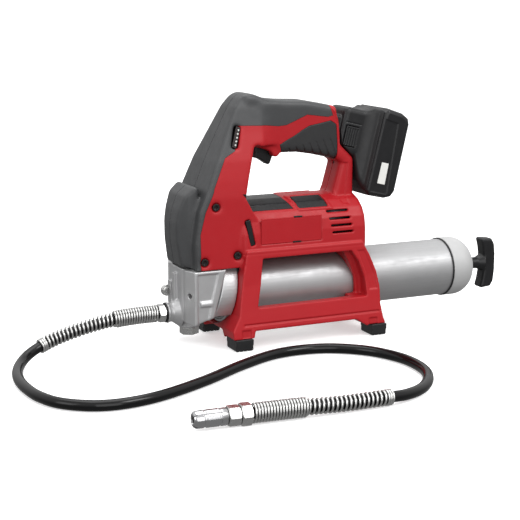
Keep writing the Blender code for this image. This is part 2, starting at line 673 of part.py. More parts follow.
# ---- grease barrel -------------------------------------------------------------------------
def make_barrel():
    inner = BARREL_R - BARREL_WALL
    tube_profile = [(BARREL_X0, BARREL_R), (BARREL_X0, inner), (BARREL_X1, inner),
                    (BARREL_X1, BARREL_R)]
    keep(turned(tube_profile, AXIS_Z, 56), "barrel_tube", "barrel_steel")
    seal = [(114.4, 28.9), (115.7, 28.9), (115.7, 29.8), (114.4, 29.8)]
    keep(turned(seal, AXIS_Z, 48), "barrel_seal", "rubber")
    cap = [(116, CAP_R), (127, CAP_R), (132, 29.2), (137, 27), (141.5, 23.3), (145, 18.2),
           (147.4, 11.5), (CAP_X1, 6), (CAP_X1, 4.5), (145.1, 4.5), (143.6, 10), (140.2, 17.5),
           (136.4, 22), (131.5, 25.2), (126, 26.6), (117.4, 26.6), (117.4, 28.9), (116, 28.9)]
    keep(turned(cap, AXIS_Z, 48), "barrel_end_cap", "cap_casting")
    follower = [(-129.5, 4.1), (-129.5, 20), (-126, 26.4), (-114, 26.4), (-114, 24.4),
                (-119, 24), (-119, 4.1)]
    keep(turned(follower[::-1], AXIS_Z, 32), "follower", "rubber")
    keep(coil(-117.4, 130, 21.6, 1.3, 6, centre=(0, AXIS_Z)), "follower_spring", "zinc_steel")


def make_pull_handle():
    keep(rod((-131, 0, AXIS_Z), 297.5, 3.8, sides=20), "follower_rod", "zinc_steel")
    upper = [(166.9, 9), (165.6, 17), (163.4, 25), (165.5, T_HALF), (176, T_HALF - 1),
             (179.4, 20), (180.7, 9)]
    lower = [(x, -z) for x, z in reversed(upper)]
    grip = prism([(x, AXIS_Z + z) for x, z in upper + lower], -7.2, 7.2, bevel=2.4)
    grip = join(grip, rod((149.4, 0, AXIS_Z), 18.4, STEM_R, sides=24))
    keep(cut(grip, rod((146, 0, AXIS_Z), 21, 4.1, sides=20)), "pull_handle", "black_plastic")


# ---- controls and power ----------------------------------------------------------------------
def make_controls():
    lever = prism(TRIGGER, -6, 6, bevel=1)
    keep(cut(lever, rod((-91.5, -8, 187), 16, 1.75, axis="Y", sides=16)), "trigger",
         "black_plastic")
    keep(rod((-91.5, -9, 187), 18, 1.4, axis="Y", sides=16), "trigger_pin", "zinc_steel")
    keep(block(-98, -72, -10, 10, 200.6, 221, bevel=0.6), "trigger_switch", "black_plastic")
    keep(battery_prism(-53.5, -47, 12.6, 185.4, 211.2), "terminal_block", "black_plastic")
    keep(tube(smooth_route(LEADS, 15), 1.5, steps=1), "motor_leads", "rubber")


def make_battery():
    post = battery_prism(-46, 8, 13, 184, 212, bevel=3)
    neck = cut(battery_prism(1, 38, 17.5, 176, 221.5, bevel=5),
               prism(grown(HANDLE, GAP), -30, 30))
    stem = cut(join(post, neck), battery_prism(-43.5, 60, 9.6, 187, 209),
               battery_prism(34, 60, 12, 182, 216))
    for side in (-1, 1):
        pocket = shifted(battery_prism(5.5, 20.5, 4, 184, 204), 0, side * 16)
        stem = cut(stem, pocket)
        button = shifted(battery_prism(6, 20, 2.2, 184.5, 203.5, bevel=0.8), 0, side * 16.1)
        keep(button, ("left" if side < 0 else "right") + "_battery_latch", "black_plastic")
    keep(stem, "battery_stem", "soft_grip")
    case = prism(BATTERY_SIDE, -PACK_HALF, PACK_HALF, bevel=4)
    room = prism(grown(BATTERY_SIDE, -2.4), -PACK_HALF + 1.8, PACK_HALF - 1.8)
    case = cut(case, room, battery_prism(10, 42, 17.8, 175.7, 226))
    keep(case, "battery_case", "black_plastic")
    lean = Matrix.Rotation(TILT, 4, "Y")
    for number, y in enumerate((-18.4, 0, 18.4), 1):
        cell = rod((0, 0, -33), 65, 9.0, axis="Z", sides=24)
        cell.data.transform(Matrix.Translation((38.6 * MM, y * MM, 172.5 * MM)) @ lean)
        keep(cell, "battery_cell_%d" % number, "zinc_steel")


# ---- hose -------------------------------------------------------------------------------------
def stretch(points, start, length):
    """The points of a route between two distances from its start."""
    walked, chosen = 0.0, []
    for p, q in zip(points, points[1:]):
        if start <= walked <= start + length:
            chosen.append(p)
        walked += (q - p).length
    if walked <= start + length:
        chosen.append(points[-1])
    return chosen


def guard(points, fat_first, fat_long):
    """A spring guard as a sleeve: a fat tight-wound stretch, then a slimmer open one."""
    total = route_length(points)
    walked, radii = 0.0, []
    for index, point in enumerate(points):
        if index:
            walked += (point - points[index - 1]).length
        from_fat_end = walked if fat_first else total - walked
        radii.append(GUARD_FAT if from_fat_end < fat_long else GUARD_SLIM)
    sleeve = tube(points, GUARD_SLIM, caps=False, radii=radii)
    wall = sleeve.modifiers.new("wall", "SOLIDIFY")
    wall.thickness = (GUARD_SLIM - GUARD_IN) * MM
    wall.offset = -1
    return baked(sleeve, weld=True)


def at_hose_end(item, points):
    """Move a piece built along -X from the origin to the hose's far end."""
    last, before = points[-1], points[-4]
    heading = (last - before).normalized()
    turn = Vector((-1, 0, 0)).rotation_difference(Vector((heading.x, heading.y, 0)).normalized())
    item.data.transform(Matrix.Translation(last * MM) @ turn.to_matrix().to_4x4())
    return item


def make_hose():
    route = smooth_route(HOSE_ROUTE, HOSE_POINTS)
    keep(tube(route, HOSE_R), "hose", "rubber")
    fine = smooth_route(HOSE_ROUTE, 4 * HOSE_POINTS)
    total = route_length(fine)
    first = stretch(fine, 0.5, GUARD_A[0])[::3]
    keep(guard(first, True, GUARD_A[1]), "hose_guard_inlet", "zinc_steel")
    last = stretch(fine, total - GUARD_B[0], GUARD_B[0] - 0.5)[::3]
    keep(guard(last, False, GUARD_B[1]), "hose_guard_outlet", "zinc_steel")
    nut = join(rod((-193.7, 0, BOSS_Z), 7.0, 9.2, sides=6),
               rod((-188, 0, BOSS_Z), 3, 6.6, sides=24))
    nut = cut(nut, rod((-200, 0, BOSS_Z), 20, 2.4, sides=16))
    keep(nut, "hose_inlet_nut", "zinc_steel")
    seal = cut(rod((-186.4, 0, BOSS_Z), 1.4, 9.3, sides=28),
               rod((-188, 0, BOSS_Z), 5, 6.9, sides=24))
    keep(seal, "outlet_seal", "rubber")
    hex_end = cut(rod((-9.3, 0, 0), END_HEX_LONG, 9.6, sides=6), rod((-12, 0, 0), 14, 2.4, sides=16))
    keep(at_hose_end(hex_end, route), "hose_end_hex", "dark_steel")
    start = -9.6 - COUPLER_HEX_LONG
    hex_body = cut(rod((start, 0, 0), COUPLER_HEX_LONG, 8.8, sides=6),
                   rod((start - 2, 0, 0), 14, 2.4, sides=16))
    keep(at_hose_end(hex_body, route), "coupler_body", "zinc_steel")
    sleeve = cut(rod((start - GAP - COUPLER_LONG, 0, 0), COUPLER_LONG, COUPLER_R, sides=36),
                 rod((start - 2 - COUPLER_LONG, 0, 0), COUPLER_LONG - 4, 5.0, sides=24),
                 rod((start - 10, 0, 0), 14, 2.4, sides=16))
    keep(at_hose_end(sleeve, route), "coupler_sleeve", "chrome")


def main():
    make_housing()
    make_covers()
    make_feet()
    make_pump_head()
    make_head_fittings()
    make_drive()
    make_barrel()
    make_pull_handle()
    make_controls()
    make_battery()
    make_hose()


clear_scene()
PARTS = make_collection("grease_gun")
TOOLS = make_collection("cutters")
main()
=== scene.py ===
"""Looks of the cordless grease gun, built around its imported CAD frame.

Lengths are in millimetres times MM, in the frame's axes: +Z up, +X from pump head to pull
handle, the left side of the tool at -Y.  A moulded or cast piece starts from its CAD node,
takes its small relief by boolean, and is then softened by a fine remesh.  The barrel, its cap,
the hose fittings and the wire guards are turned, cut or wound anew.
"""

import bpy
import bmesh
import json
from math import cos, pi, radians, sin
from mathutils import Matrix, Vector

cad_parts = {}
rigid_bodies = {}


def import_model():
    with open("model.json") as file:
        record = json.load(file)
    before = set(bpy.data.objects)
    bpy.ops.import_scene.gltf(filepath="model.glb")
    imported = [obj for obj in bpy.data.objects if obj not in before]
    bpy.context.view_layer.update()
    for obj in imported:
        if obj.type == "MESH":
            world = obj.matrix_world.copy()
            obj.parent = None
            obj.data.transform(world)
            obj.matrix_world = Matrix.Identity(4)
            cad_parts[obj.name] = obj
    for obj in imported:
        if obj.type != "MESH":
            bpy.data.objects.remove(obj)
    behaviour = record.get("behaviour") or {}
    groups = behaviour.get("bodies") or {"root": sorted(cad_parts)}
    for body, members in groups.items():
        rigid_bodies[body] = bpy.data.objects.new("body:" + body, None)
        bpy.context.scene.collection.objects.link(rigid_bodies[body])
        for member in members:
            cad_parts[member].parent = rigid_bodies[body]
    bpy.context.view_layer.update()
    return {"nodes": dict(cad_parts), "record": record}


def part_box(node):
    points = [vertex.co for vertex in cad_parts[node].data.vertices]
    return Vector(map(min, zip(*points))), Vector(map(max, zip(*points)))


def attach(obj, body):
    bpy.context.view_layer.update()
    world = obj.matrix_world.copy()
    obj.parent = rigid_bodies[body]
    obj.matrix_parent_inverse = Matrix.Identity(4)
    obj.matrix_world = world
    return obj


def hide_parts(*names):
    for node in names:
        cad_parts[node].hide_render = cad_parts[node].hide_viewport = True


MM = 0.001

for leftover in list(bpy.data.objects):
    bpy.data.objects.remove(leftover, do_unlink=True)

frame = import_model()
SLOT = {part["node"]: part["material_slot"] for part in frame["record"]["subparts"]}
BODY = {node: body for body, nodes in frame["record"]["behaviour"]["bodies"].items()
        for node in nodes}

AXIS_Z = 49.7                # barrel axis
BARREL_R = 28.6              # outer radius
BARREL_WALL = 1.6
HANDLE_HALF = 17.0           # half-width of the handle
BOSS_Z = 32.0                # height of the hose boss
TILT = radians(13.7)         # slope of the battery's slide
SLIDE_X, SLIDE_Z = -10, 201  # a point on the slide's axis
HOSE_R = 4.75                # outer radius
WELD = 1e-6                  # metres within which two vertices are one
SIDES = (("left", -1), ("right", 1))


# ---- camera ---------------------------------------------------------------------------
def make_camera():
    aim = Vector((-87.7, 0, 74)) * MM
    azimuth, elevation, distance = radians(-24.7), radians(11.8), 1.2552
    back = Vector((sin(azimuth) * cos(elevation), -cos(azimuth) * cos(elevation),
                   sin(elevation)))
    data = bpy.data.cameras.new("camera")
    data.lens = 90
    data.sensor_width = 36
    camera = bpy.data.objects.new("camera", data)
    bpy.context.scene.collection.objects.link(camera)
    camera.location = aim + back * distance
    camera.rotation_mode = "QUATERNION"
    camera.rotation_quaternion = (-back).to_track_quat("-Z", "Y")
    bpy.context.scene.camera = camera


# ---- meshes ---------------------------------------------------------------------------
def working(data, name="piece"):
    """A new object in the scene, to be named and placed as a piece or used as a tool."""
    item = bpy.data.objects.new(name, data)
    bpy.context.scene.collection.objects.link(item)
    return item


def drop(*items):
    for item in items:
        bpy.data.objects.remove(item, do_unlink=True)


def baked(item):
    """Replace an object by the plain mesh that it evaluates to, in world space."""
    bpy.context.view_layer.update()
    graph = bpy.context.evaluated_depsgraph_get()
    mesh = bpy.data.meshes.new_from_object(item.evaluated_get(graph))
    mesh.transform(item.matrix_world)
    drop(item)
    return working(mesh)


def from_bmesh(bm):
    """A working object with its faces turned outward."""
    bmesh.ops.recalc_face_normals(bm, faces=bm.faces)
    if bm.calc_volume(signed=True) < 0:
        bmesh.ops.reverse_faces(bm, faces=bm.faces)
    mesh = bpy.data.meshes.new("piece")
    bm.to_mesh(mesh)
    bm.free()
    return working(mesh)


def node_copy(name):
    """A closed working copy of a CAD node's mesh, at its place."""
    bm = bmesh.new()
    bm.from_mesh(frame["nodes"][name].data)
    bmesh.ops.remove_doubles(bm, verts=bm.verts, dist=WELD)
    return from_bmesh(bm)


def copy_of(item, move=(0, 0, 0)):
    other = working(item.data.copy())
    other.data.transform(Matrix.Translation(Vector(move) * MM))
    return other


def combine(target, tools, operation):
    """Apply a boolean with each tool in turn, and use the tools up."""
    for tool in tools:
        step = target.modifiers.new("step", "BOOLEAN")
        step.operation = operation
        step.object = tool
        step.solver = "MANIFOLD"
        before = len(target.data.polygons)
        target = baked(target)
        if not target.data.polygons and before:
            raise ValueError("a boolean emptied its target")
    drop(*tools)
    return target


def cut(target, *tools):
    return combine(target, tools, "DIFFERENCE")


def join(target, *tools):
    return combine(target, tools, "UNION")


def meet(target, *tools):
    return combine(target, tools, "INTERSECT")


def block(x0, x1, y0, y1, z0, z1):
    bm = bmesh.new()
    bmesh.ops.create_cube(bm, size=1)
    size = Vector((x1 - x0, y1 - y0, z1 - z0)) * MM
    middle = Vector((x0 + x1, y0 + y1, z0 + z1)) * MM / 2
    bm.transform(Matrix.Translation(middle) @ Matrix.Diagonal((*size, 1)))
    return from_bmesh(bm)


AXES = {"X": Matrix.Rotation(pi / 2, 4, "Y"), "Y": Matrix.Rotation(-pi / 2, 4, "X")}


def rod(start, length, radius, axis="X", sides=48, end_radius=None):
    """A cylinder or cone from its start along an axis."""
    bm = bmesh.new()
    top = radius if end_radius is None else end_radius
    bmesh.ops.create_cone(bm, cap_ends=True, segments=sides, radius1=radius * MM,
                          radius2=top * MM, depth=length * MM)
    place = Matrix.Translation(Vector(start) * MM) @ AXES[axis]
    bm.transform(place @ Matrix.Translation((0, 0, length * MM / 2)))
    return from_bmesh(bm)


def prism(outline, low, high, view="side"):
    """Extrude an outline: side view (x, z) along Y, or front view (y, z) along X."""
    place = {"side": lambda u, v, w: (u, w, v), "front": lambda u, v, w: (w, u, v)}[view]
    bm = bmesh.new()
    ends = [[bm.verts.new(Vector(place(u, v, w)) * MM) for u, v in outline]
            for w in (low, high)]
    bm.faces.new(ends[0])
    bm.faces.new(ends[1])
    count = len(outline)
    for i in range(count):
        j = (i + 1) % count
        bm.faces.new((ends[0][i], ends[0][j], ends[1][j], ends[1][i]))
    return from_bmesh(bm)


def lathe(profile, place, sides=96):
    """Turn a closed (along, radius) profile about the X axis, then move it to its place."""
    bm = bmesh.new()
    rings = []
    for x, r in profile:
        rings.append([bm.verts.new((x * MM, r * MM * cos(2 * pi * k / sides),
                                    r * MM * sin(2 * pi * k / sides))) for k in range(sides)])
    for a, b in zip(rings, rings[1:] + rings[:1]):
        for k in range(sides):
            n = (k + 1) % sides
            bm.faces.new((a[k], a[n], b[n], b[k]))
    bm.transform(place)
    return from_bmesh(bm)


def rounded(profile, radius, steps=4):
    """Round every corner of a closed profile."""
    result = []
    count = len(profile)
    for i, here in enumerate(profile):
        here = Vector(here)
        before, after = Vector(profile[i - 1]), Vector(profile[(i + 1) % count])
        reach = min(radius, (before - here).length * 0.45, (after - here).length * 0.45)
        a = here + (before - here).normalized() * reach
        b = here + (after - here).normalized() * reach
        for k in range(steps + 1):
            t = k / steps
            result.append(tuple(a * (1 - t) ** 2 + here * 2 * t * (1 - t) + b * t ** 2))
    return result


def tube_mesh(points, radius, sides=10):
    """A round tube with closed ends along points (mm), with frames carried along the path."""
    bm = bmesh.new()
    rings = []
    normal = Vector((0, 0, 1))
    for i, point in enumerate(points):
        ahead = points[min(i + 1, len(points) - 1)] - points[max(i - 1, 0)]
        tangent = ahead.normalized()
        normal = (normal - tangent * normal.dot(tangent)).normalized()
        side = tangent.cross(normal)
        rings.append([bm.verts.new((point + (normal * cos(2 * pi * k / sides)
                                             + side * sin(2 * pi * k / sides)) * radius) * MM)
                      for k in range(sides)])
    for a, b in zip(rings, rings[1:]):
        for k in range(sides):
            n = (k + 1) % sides
            bm.faces.new((a[k], a[n], b[n], b[k]))
    bm.faces.new(rings[0])
    bm.faces.new(rings[-1])
    return from_bmesh(bm)


def raised(solid, region, shift):
    """Raise the part of a surface inside a region by a shift in mm."""
    return join(solid, meet(copy_of(solid, move=shift), region))


def sunk(solid, region, shift):
    """Sink the part of a surface inside a region by a shift in mm."""
    return cut(solid, cut(region, copy_of(solid, move=shift)))


def add_remesh(item, voxel):
    remesh = item.modifiers.new("remesh", "REMESH")
    remesh.mode = "VOXEL"
    remesh.voxel_size = voxel * MM


def add_smooth(item, rounds):
    smooth = item.modifiers.new("smooth", "SMOOTH")
    smooth.factor = 0.5
    smooth.iterations = rounds
    return smooth


def add_thin(item, keep):
    thin = item.modifiers.new("thin", "DECIMATE")
    thin.ratio = keep


def soften(item, voxel, rounds, keep):
    """Remesh a solid finely, round its edges like a moulding, and thin its flat parts.

    The voxel is in mm, and keep is the share of the faces that stays.
    """
    add_remesh(item, voxel)
    add_smooth(item, rounds)
    add_thin(item, keep)
    return baked(item)


def place_piece(item, name, *nodes, material=None, sharp=None):
    """Name a finished piece, shade it, and let it stand for its CAD nodes."""
    item.name = name
    item.data.name = name
    item.data.materials.clear()
    item.data.materials.append(MATERIAL[material or SLOT[nodes[0]]])
    item.data.polygons.foreach_set("use_smooth", [True] * len(item.data.polygons))
    if sharp:
        item.data.set_sharp_from_angle(angle=radians(sharp))
    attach(item, BODY[nodes[0]])
    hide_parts(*nodes)
    return item


# ---- materials ------------------------------------------------------------------------
class Nodes:
    """Short calls to build a material's node tree."""

    def __init__(self, name):
        self.material = bpy.data.materials.new(name)
        self.material.use_nodes = True
        self.tree = self.material.node_tree
        self.shader = self.tree.nodes["Principled BSDF"]
        self.place = self.add("ShaderNodeTexCoord").outputs["Object"]

    def add(self, kind, **inputs):
        node = self.tree.nodes.new(kind)
        for key, value in inputs.items():
            self.feed(node.inputs[key.replace("_", " ")], value)
        return node

    def feed(self, socket, value):
        if isinstance(value, bpy.types.NodeSocket):
            self.tree.links.new(value, socket)
        else:
            socket.default_value = value

    def noise(self, scale, detail=3.0, stretch=(1, 1, 1)):
        """Noise with features of about 1/scale metres, stretched along an axis at will."""
        place = self.add("ShaderNodeMapping", Vector=self.place, Scale=stretch)
        return self.add("ShaderNodeTexNoise", Vector=place.outputs[0], Scale=scale,
                        Detail=detail, Roughness=0.6).outputs["Fac"]

    def spread(self, value, low, high, out_low=0.0, out_high=1.0):
        node = self.add("ShaderNodeMapRange", Value=value)
        for index, number in enumerate((low, high, out_low, out_high), 1):
            node.inputs[index].default_value = number
        return node.outputs[0]

    def maths(self, operation, a, b=0.0):
        node = self.tree.nodes.new("ShaderNodeMath")
        node.operation = operation
        self.feed(node.inputs[0], a)
        self.feed(node.inputs[1], b)
        return node.outputs[0]

    def mix(self, share, a, b):
        node = self.tree.nodes.new("ShaderNodeMix")
        node.data_type = "RGBA"
        self.feed(node.inputs["Factor"], share)
        for socket, value in ((node.inputs[6], a), (node.inputs[7], b)):
            self.feed(socket, value if isinstance(value, bpy.types.NodeSocket) else (*value, 1))
        return node.outputs[2]

    def bump(self, height, strength, distance=0.0002, before=None):
        node = self.add("ShaderNodeBump", Height=height, Strength=strength, Distance=distance)
        if before is not None:
            self.feed(node.inputs["Normal"], before)
        return node.outputs[0]


# Pointiness band of the edges that are lightened as wear and as painted highlight.
EDGE_POINTINESS = (0.53, 0.62)
# Pointiness band of the creases that are darkened as painted shade.
CREASE_POINTINESS = (0.47, 0.40)


def scaled(colour, factor):
    return tuple(min(c * factor, 1.0) for c in colour)


def finish_material(name, colour, rough, metal=0.0, mottle=0.12, grain=900, grain_depth=0.2,
                    wear_and_highlight=None, wear_and_highlight_share=0.5, brushed=None, specular=0.5):
    """A moulded or metal finish: mottled colour, uneven gloss, fine grain, edges lightened as
    wear and painted highlight, and creases darkened as painted shade.
    """
    n = Nodes(name)
    broad = n.noise(38)
    tint = n.mix(broad, scaled(colour, 1 - mottle), scaled(colour, 1 + mottle))
    fine = n.noise(grain, detail=4)
    curve = n.add("ShaderNodeNewGeometry").outputs["Pointiness"]
    # Edges lighten toward the edge colour: partly real edge wear, partly painted highlight.
    if wear_and_highlight is not None:
        edge = n.spread(curve, *EDGE_POINTINESS)
        chips = n.spread(n.noise(260, detail=5), 0.42, 0.68)
        share = n.maths("MULTIPLY", n.maths("MULTIPLY", edge, chips), wear_and_highlight_share)
        tint = n.mix(share, tint, wear_and_highlight)
    # Creases darken toward a darker tone of the colour: painted shade.
    crease_shade = n.spread(curve, *CREASE_POINTINESS, 0.0, 0.35)
    tint = n.mix(crease_shade, tint, scaled(colour, 0.45))
    gloss = n.spread(n.noise(120, detail=4), 0.3, 0.7, rough - 0.05, rough + 0.07)
    normal = n.bump(fine, grain_depth)
    if brushed is not None:
        lines = n.noise(420, detail=4, stretch=brushed)
        gloss = n.maths("ADD", gloss, n.spread(lines, 0.3, 0.7, -0.06, 0.08))
        normal = n.bump(lines, 0.05, 0.00003, before=normal)
        tint = n.mix(n.spread(lines, 0.35, 0.65, 0.0, 0.25), tint, scaled(colour, 0.8))
    n.feed(n.shader.inputs["Base Color"], tint)
    n.feed(n.shader.inputs["Roughness"], gloss)
    n.feed(n.shader.inputs["Metallic"], metal)
    n.feed(n.shader.inputs["Normal"], normal)
    n.feed(n.shader.inputs["Specular IOR Level"], specular)
    return n.material


def make_materials():
    # The lighter edge colour of each finish is partly wear, partly painted highlight on its
    # edges.
    return {
        "red_shell": finish_material("red_shell", (0.385, 0.010, 0.015), 0.40, grain=1400,
                                     grain_depth=0.10, mottle=0.05,
                                     wear_and_highlight=(0.60, 0.06, 0.07), wear_and_highlight_share=0.35, specular=0.28),
        "soft_grip": finish_material("soft_grip", (0.040, 0.041, 0.043), 0.46, grain=2200,
                                     grain_depth=0.25, mottle=0.10,
                                     wear_and_highlight=(0.12, 0.12, 0.125), wear_and_highlight_share=0.4, specular=0.5),
        "soft_dark": finish_material("soft_dark", (0.022, 0.022, 0.023), 0.44, grain=2200,
                                     grain_depth=0.25, mottle=0.10,
                                     wear_and_highlight=(0.08, 0.08, 0.085), wear_and_highlight_share=0.4, specular=0.4),
        "black_plastic": finish_material("black_plastic", (0.010, 0.010, 0.011), 0.34,
                                         grain=1800, grain_depth=0.18, mottle=0.12,
                                         wear_and_highlight=(0.07, 0.07, 0.075), wear_and_highlight_share=0.6,
                                         specular=0.33),
        "battery_plastic": finish_material("battery_plastic", (0.012, 0.012, 0.013), 0.40,
                                           grain=1800, grain_depth=0.2, mottle=0.12,
                                           wear_and_highlight=(0.09, 0.09, 0.095), wear_and_highlight_share=0.5,
                                           specular=0.35),
        "cast_aluminium": finish_material("cast_aluminium", (0.48, 0.48, 0.485), 0.42,
                                          metal=0.7, grain=600, grain_depth=0.5,
                                          mottle=0.10, wear_and_highlight=(0.85, 0.85, 0.86),
                                          wear_and_highlight_share=0.6),
        "cap_casting": finish_material("cap_casting", (0.47, 0.47, 0.47), 0.62, metal=0.25,
                                       grain=1100, grain_depth=0.25, mottle=0.07,
                                       wear_and_highlight=(0.8, 0.8, 0.8), wear_and_highlight_share=0.4, specular=0.3),
        "barrel_steel": finish_material("barrel_steel", (0.43, 0.43, 0.435), 0.46, metal=0.75,
                                        grain=1500, grain_depth=0.0, mottle=0.04,
                                        brushed=(0.06, 1, 1)),
        "zinc_steel": finish_material("zinc_steel", (0.56, 0.56, 0.55), 0.27, metal=1.0,
                                      grain=1600, grain_depth=0.12, mottle=0.10,
                                      wear_and_highlight=(0.85, 0.85, 0.84), wear_and_highlight_share=0.6),
        "dark_steel": finish_material("dark_steel", (0.14, 0.14, 0.145), 0.34, metal=1.0,
                                      grain=1500, grain_depth=0.15, mottle=0.12,
                                      wear_and_highlight=(0.45, 0.45, 0.46), wear_and_highlight_share=0.6),
        # Near-black metal with a red tint; on the body screws it is painted shade of their deep
        # recesses.
        "near_black_metal": finish_material("near_black_metal", (0.028, 0.022, 0.022), 0.36, metal=0.7,
                                       grain=1500, grain_depth=0.12, mottle=0.15,
                                       wear_and_highlight=(0.25, 0.24, 0.24), wear_and_highlight_share=0.6),
        "chrome": finish_material("chrome", (0.50, 0.50, 0.51), 0.15, metal=1.0, grain=1600,
                                  grain_depth=0.03, mottle=0.04),
        "rubber": finish_material("rubber", (0.012, 0.012, 0.013), 0.42, grain=1700,
                                  grain_depth=0.20, mottle=0.15, wear_and_highlight=(0.06, 0.06, 0.06),
                                  wear_and_highlight_share=0.4, specular=0.4),
        "hose_rubber": finish_material("hose_rubber", (0.004, 0.004, 0.0043), 0.15,
                                       grain=1300, grain_depth=0.05, mottle=0.15,
                                       specular=0.28),
        "marks": finish_material("marks", (0.75, 0.75, 0.72), 0.4, grain_depth=0.05),
    }


# ---- housing --------------------------------------------------------------------------
# Outlines in side view, as (x, z): the soft areas, then the raised rims, then the recesses.
SOFT_FRONT = [(-190, 70), (-162.5, 72), (-163.2, 110), (-158, 130), (-149.5, 148),
              (-148.5, 152), (-141, 168), (-136, 178.5), (-125, 184.5), (-118.8, 206.8),
              (-91, 205.8), (-76, 204.2), (-68, 204.8), (-57.5, 209), (-46, 213.8),
              (-24, 210.8), (-18.5, 212), (-25.5, 232), (-40, 250), (-190, 250)]
SOFT_FINGER = [(-21, 207.6), (-33, 205.4), (-44, 203.5), (-51, 200), (-60, 194.6), (-68, 190.8),
               (-75, 186.8), (-72.5, 179), (-74, 160), (-14, 160), (-13.2, 184), (-14.6, 203.5)]
COVER = [(-121.5, 145), (-115.5, 139.5), (-108.6, 127), (-65.5, 127), (-77, 145)]
REAR_RIM = [(-26.6, 223.5), (-21.7, 221.1), (-16.6, 214.4), (-13.2, 205.5), (-11.4, 195.1),
            (-11.2, 183.3), (-6.2, 177.9), (4, 170.7), (4.9, 172.4), (-3.7, 178.9),
            (-8.3, 184.7), (-8.9, 195), (-10.7, 205.4), (-16.7, 216.5), (-22.5, 222.6)]
POST_PANEL = [(-12.2, 167.1), (-16.8, 144.4), (-12.5, 128.5), (-4.6, 127.2), (-1.4, 166.0)]
SHOULDER_FRAME = [(-68.2, 138), (-60.8, 125.2), (-25.2, 125.2), (-30.6, 138)]
REAR_LEG_PANEL = [(-3.5, 84), (5.0, 84), (14.5, 62), (17.6, 45), (8.0, 45), (5.0, 62)]
RAIL_GROOVE = [(-126, 22.6), (-126, 24.8), (17.6, 24.8), (18.2, 22.6)]
FOOT_RECESSES = ([(-128.7, 11.7), (-119, 11.7), (-119, 19.5), (-128.7, 19.5)],
                 [(6, 11.5), (15, 11.5), (15, 18), (6, 18)])
LOW_LINE = [(-124, 88.2), (-124, 89.4), (6, 89.4), (6, 88.2)]
FEET = (("front", (-135.5, -117.6)), ("rear", (8.2, 24.4)))
FOOT_TOP = 11.2
SCREWS = [(-147.5, 134.5), (-159.0, 83.9), (-126.0, 87.8)]
SEAM = 0.3                   # gap between moulded pieces
SUNK_AREAS = ((REAR_LEG_PANEL, 0.8), (RAIL_GROOVE, 1.1), (LOW_LINE, 0.7),
              (FOOT_RECESSES[0], 1.2), (FOOT_RECESSES[1], 1.2))
GAUGE_X, GAUGE_Z, GAUGE_LEAN = -122.6, 196.6, radians(20)
GAUGE_SLOPE = 0.28           # how the column's side leans inward with height
TALL_SLOT_X, TALL_SLOT_Z, TALL_SLOT_LEAN = -114, 108.5, -radians(12)
SCREW_WALL, SCREW_SEAT, SCREW_OUT = 4.3, 32.2, 42


def both(side, inner, outer):
    """A span from inner to outer on one side of the tool, low end first."""
    return sorted((side * inner, side * outer))


def side_region(outline, side, inner, outer=60):
    return prism(outline, *both(side, inner, outer))


def grown(outline, distance):
    """Offset a closed outline outward by mitred corners."""
    area = sum(a[0] * b[1] - b[0] * a[1] for a, b in zip(outline, outline[1:] + outline[:1]))
    side = 1 if area > 0 else -1
    result = []
    for i, here in enumerate(outline):
        before, after = outline[i - 1], outline[(i + 1) % len(outline)]
        u, v = Vector(here) - Vector(before), Vector(after) - Vector(here)
        n1, n2 = Vector((u.y, -u.x)).normalized(), Vector((v.y, -v.x)).normalized()
        mitre = (n1 + n2) / max(1 + n1.dot(n2), 0.3)
        result.append(tuple(Vector(here) + mitre * distance * side))
    return result


def loft(rings):
    """A closed solid through rings of points with the same count."""
    bm = bmesh.new()
    rows = [[bm.verts.new(Vector(p) * MM) for p in ring] for ring in rings]
    for a, b in zip(rows, rows[1:]):
        for i in range(len(a)):
            j = (i + 1) % len(a)
            bm.faces.new((a[i], a[j], b[j], b[i]))
    bm.faces.new(rows[0])
    bm.faces.new(rows[-1])
    return from_bmesh(bm)


def handle_blend(side):
    """Ease the column's broad head into the narrower handle."""
    rings = []
    for z, half in ((186.5, 26.6), (196, 24.0), (205, 21.6), (215, 19.0), (226, 17.0)):
        step = max(half - HANDLE_HALF, 0.4)
        ring = [(-99, 10), (-99, half - 0.3), (-93.5, HANDLE_HALF + 0.8 * step),
                (-88, HANDLE_HALF + 0.42 * step), (-82, HANDLE_HALF + 0.14 * step),
                (-74, HANDLE_HALF - 0.3), (-74, 10)]
        rings.append([(x, side * y, z) for x, y in ring])
    return loft(rings)


def gauge_place(item):
    """Move a piece built round the charge gauge's centre to its slanted place."""
    item.data.transform(Matrix.Translation((GAUGE_X * MM, 0, GAUGE_Z * MM))
                        @ Matrix.Rotation(GAUGE_LEAN, 4, "Y"))
    return item


def is_upper(point):
    """Whether a point is on the column, handle or rear post, which are broadly rounded."""
    x, z = point.x / MM, point.z / MM
    return z > 139 or (x < -121 and z > 77.5) or (x > -24 and z > 136)


def rounded_upper(item):
    """Remesh a solid and round only its upper part broadly."""
    add_remesh(item, 0.85)
    item = baked(item)
    group = item.vertex_groups.new(name="upper")
    group.add([v.index for v in item.data.vertices if is_upper(v.co)], 1.0, "ADD")
    add_smooth(item, 45).vertex_group = "upper"
    add_thin(item, 0.35)
    return baked(item)


def whole_body():
    """The body with its soft areas still part of it, both halves smoothed as one form."""
    pieces = []
    for side_name, side in SIDES:
        for part in ("_housing", "_grip_skin", "_finger_grip"):
            half = node_copy(side_name + part)
            half.data.transform(Matrix.Translation((0, -side * 0.2 * MM, 0)))
            pieces.append(half)
        pieces.append(handle_blend(side))
    return rounded_upper(join(*pieces, node_copy("motor_cover")))


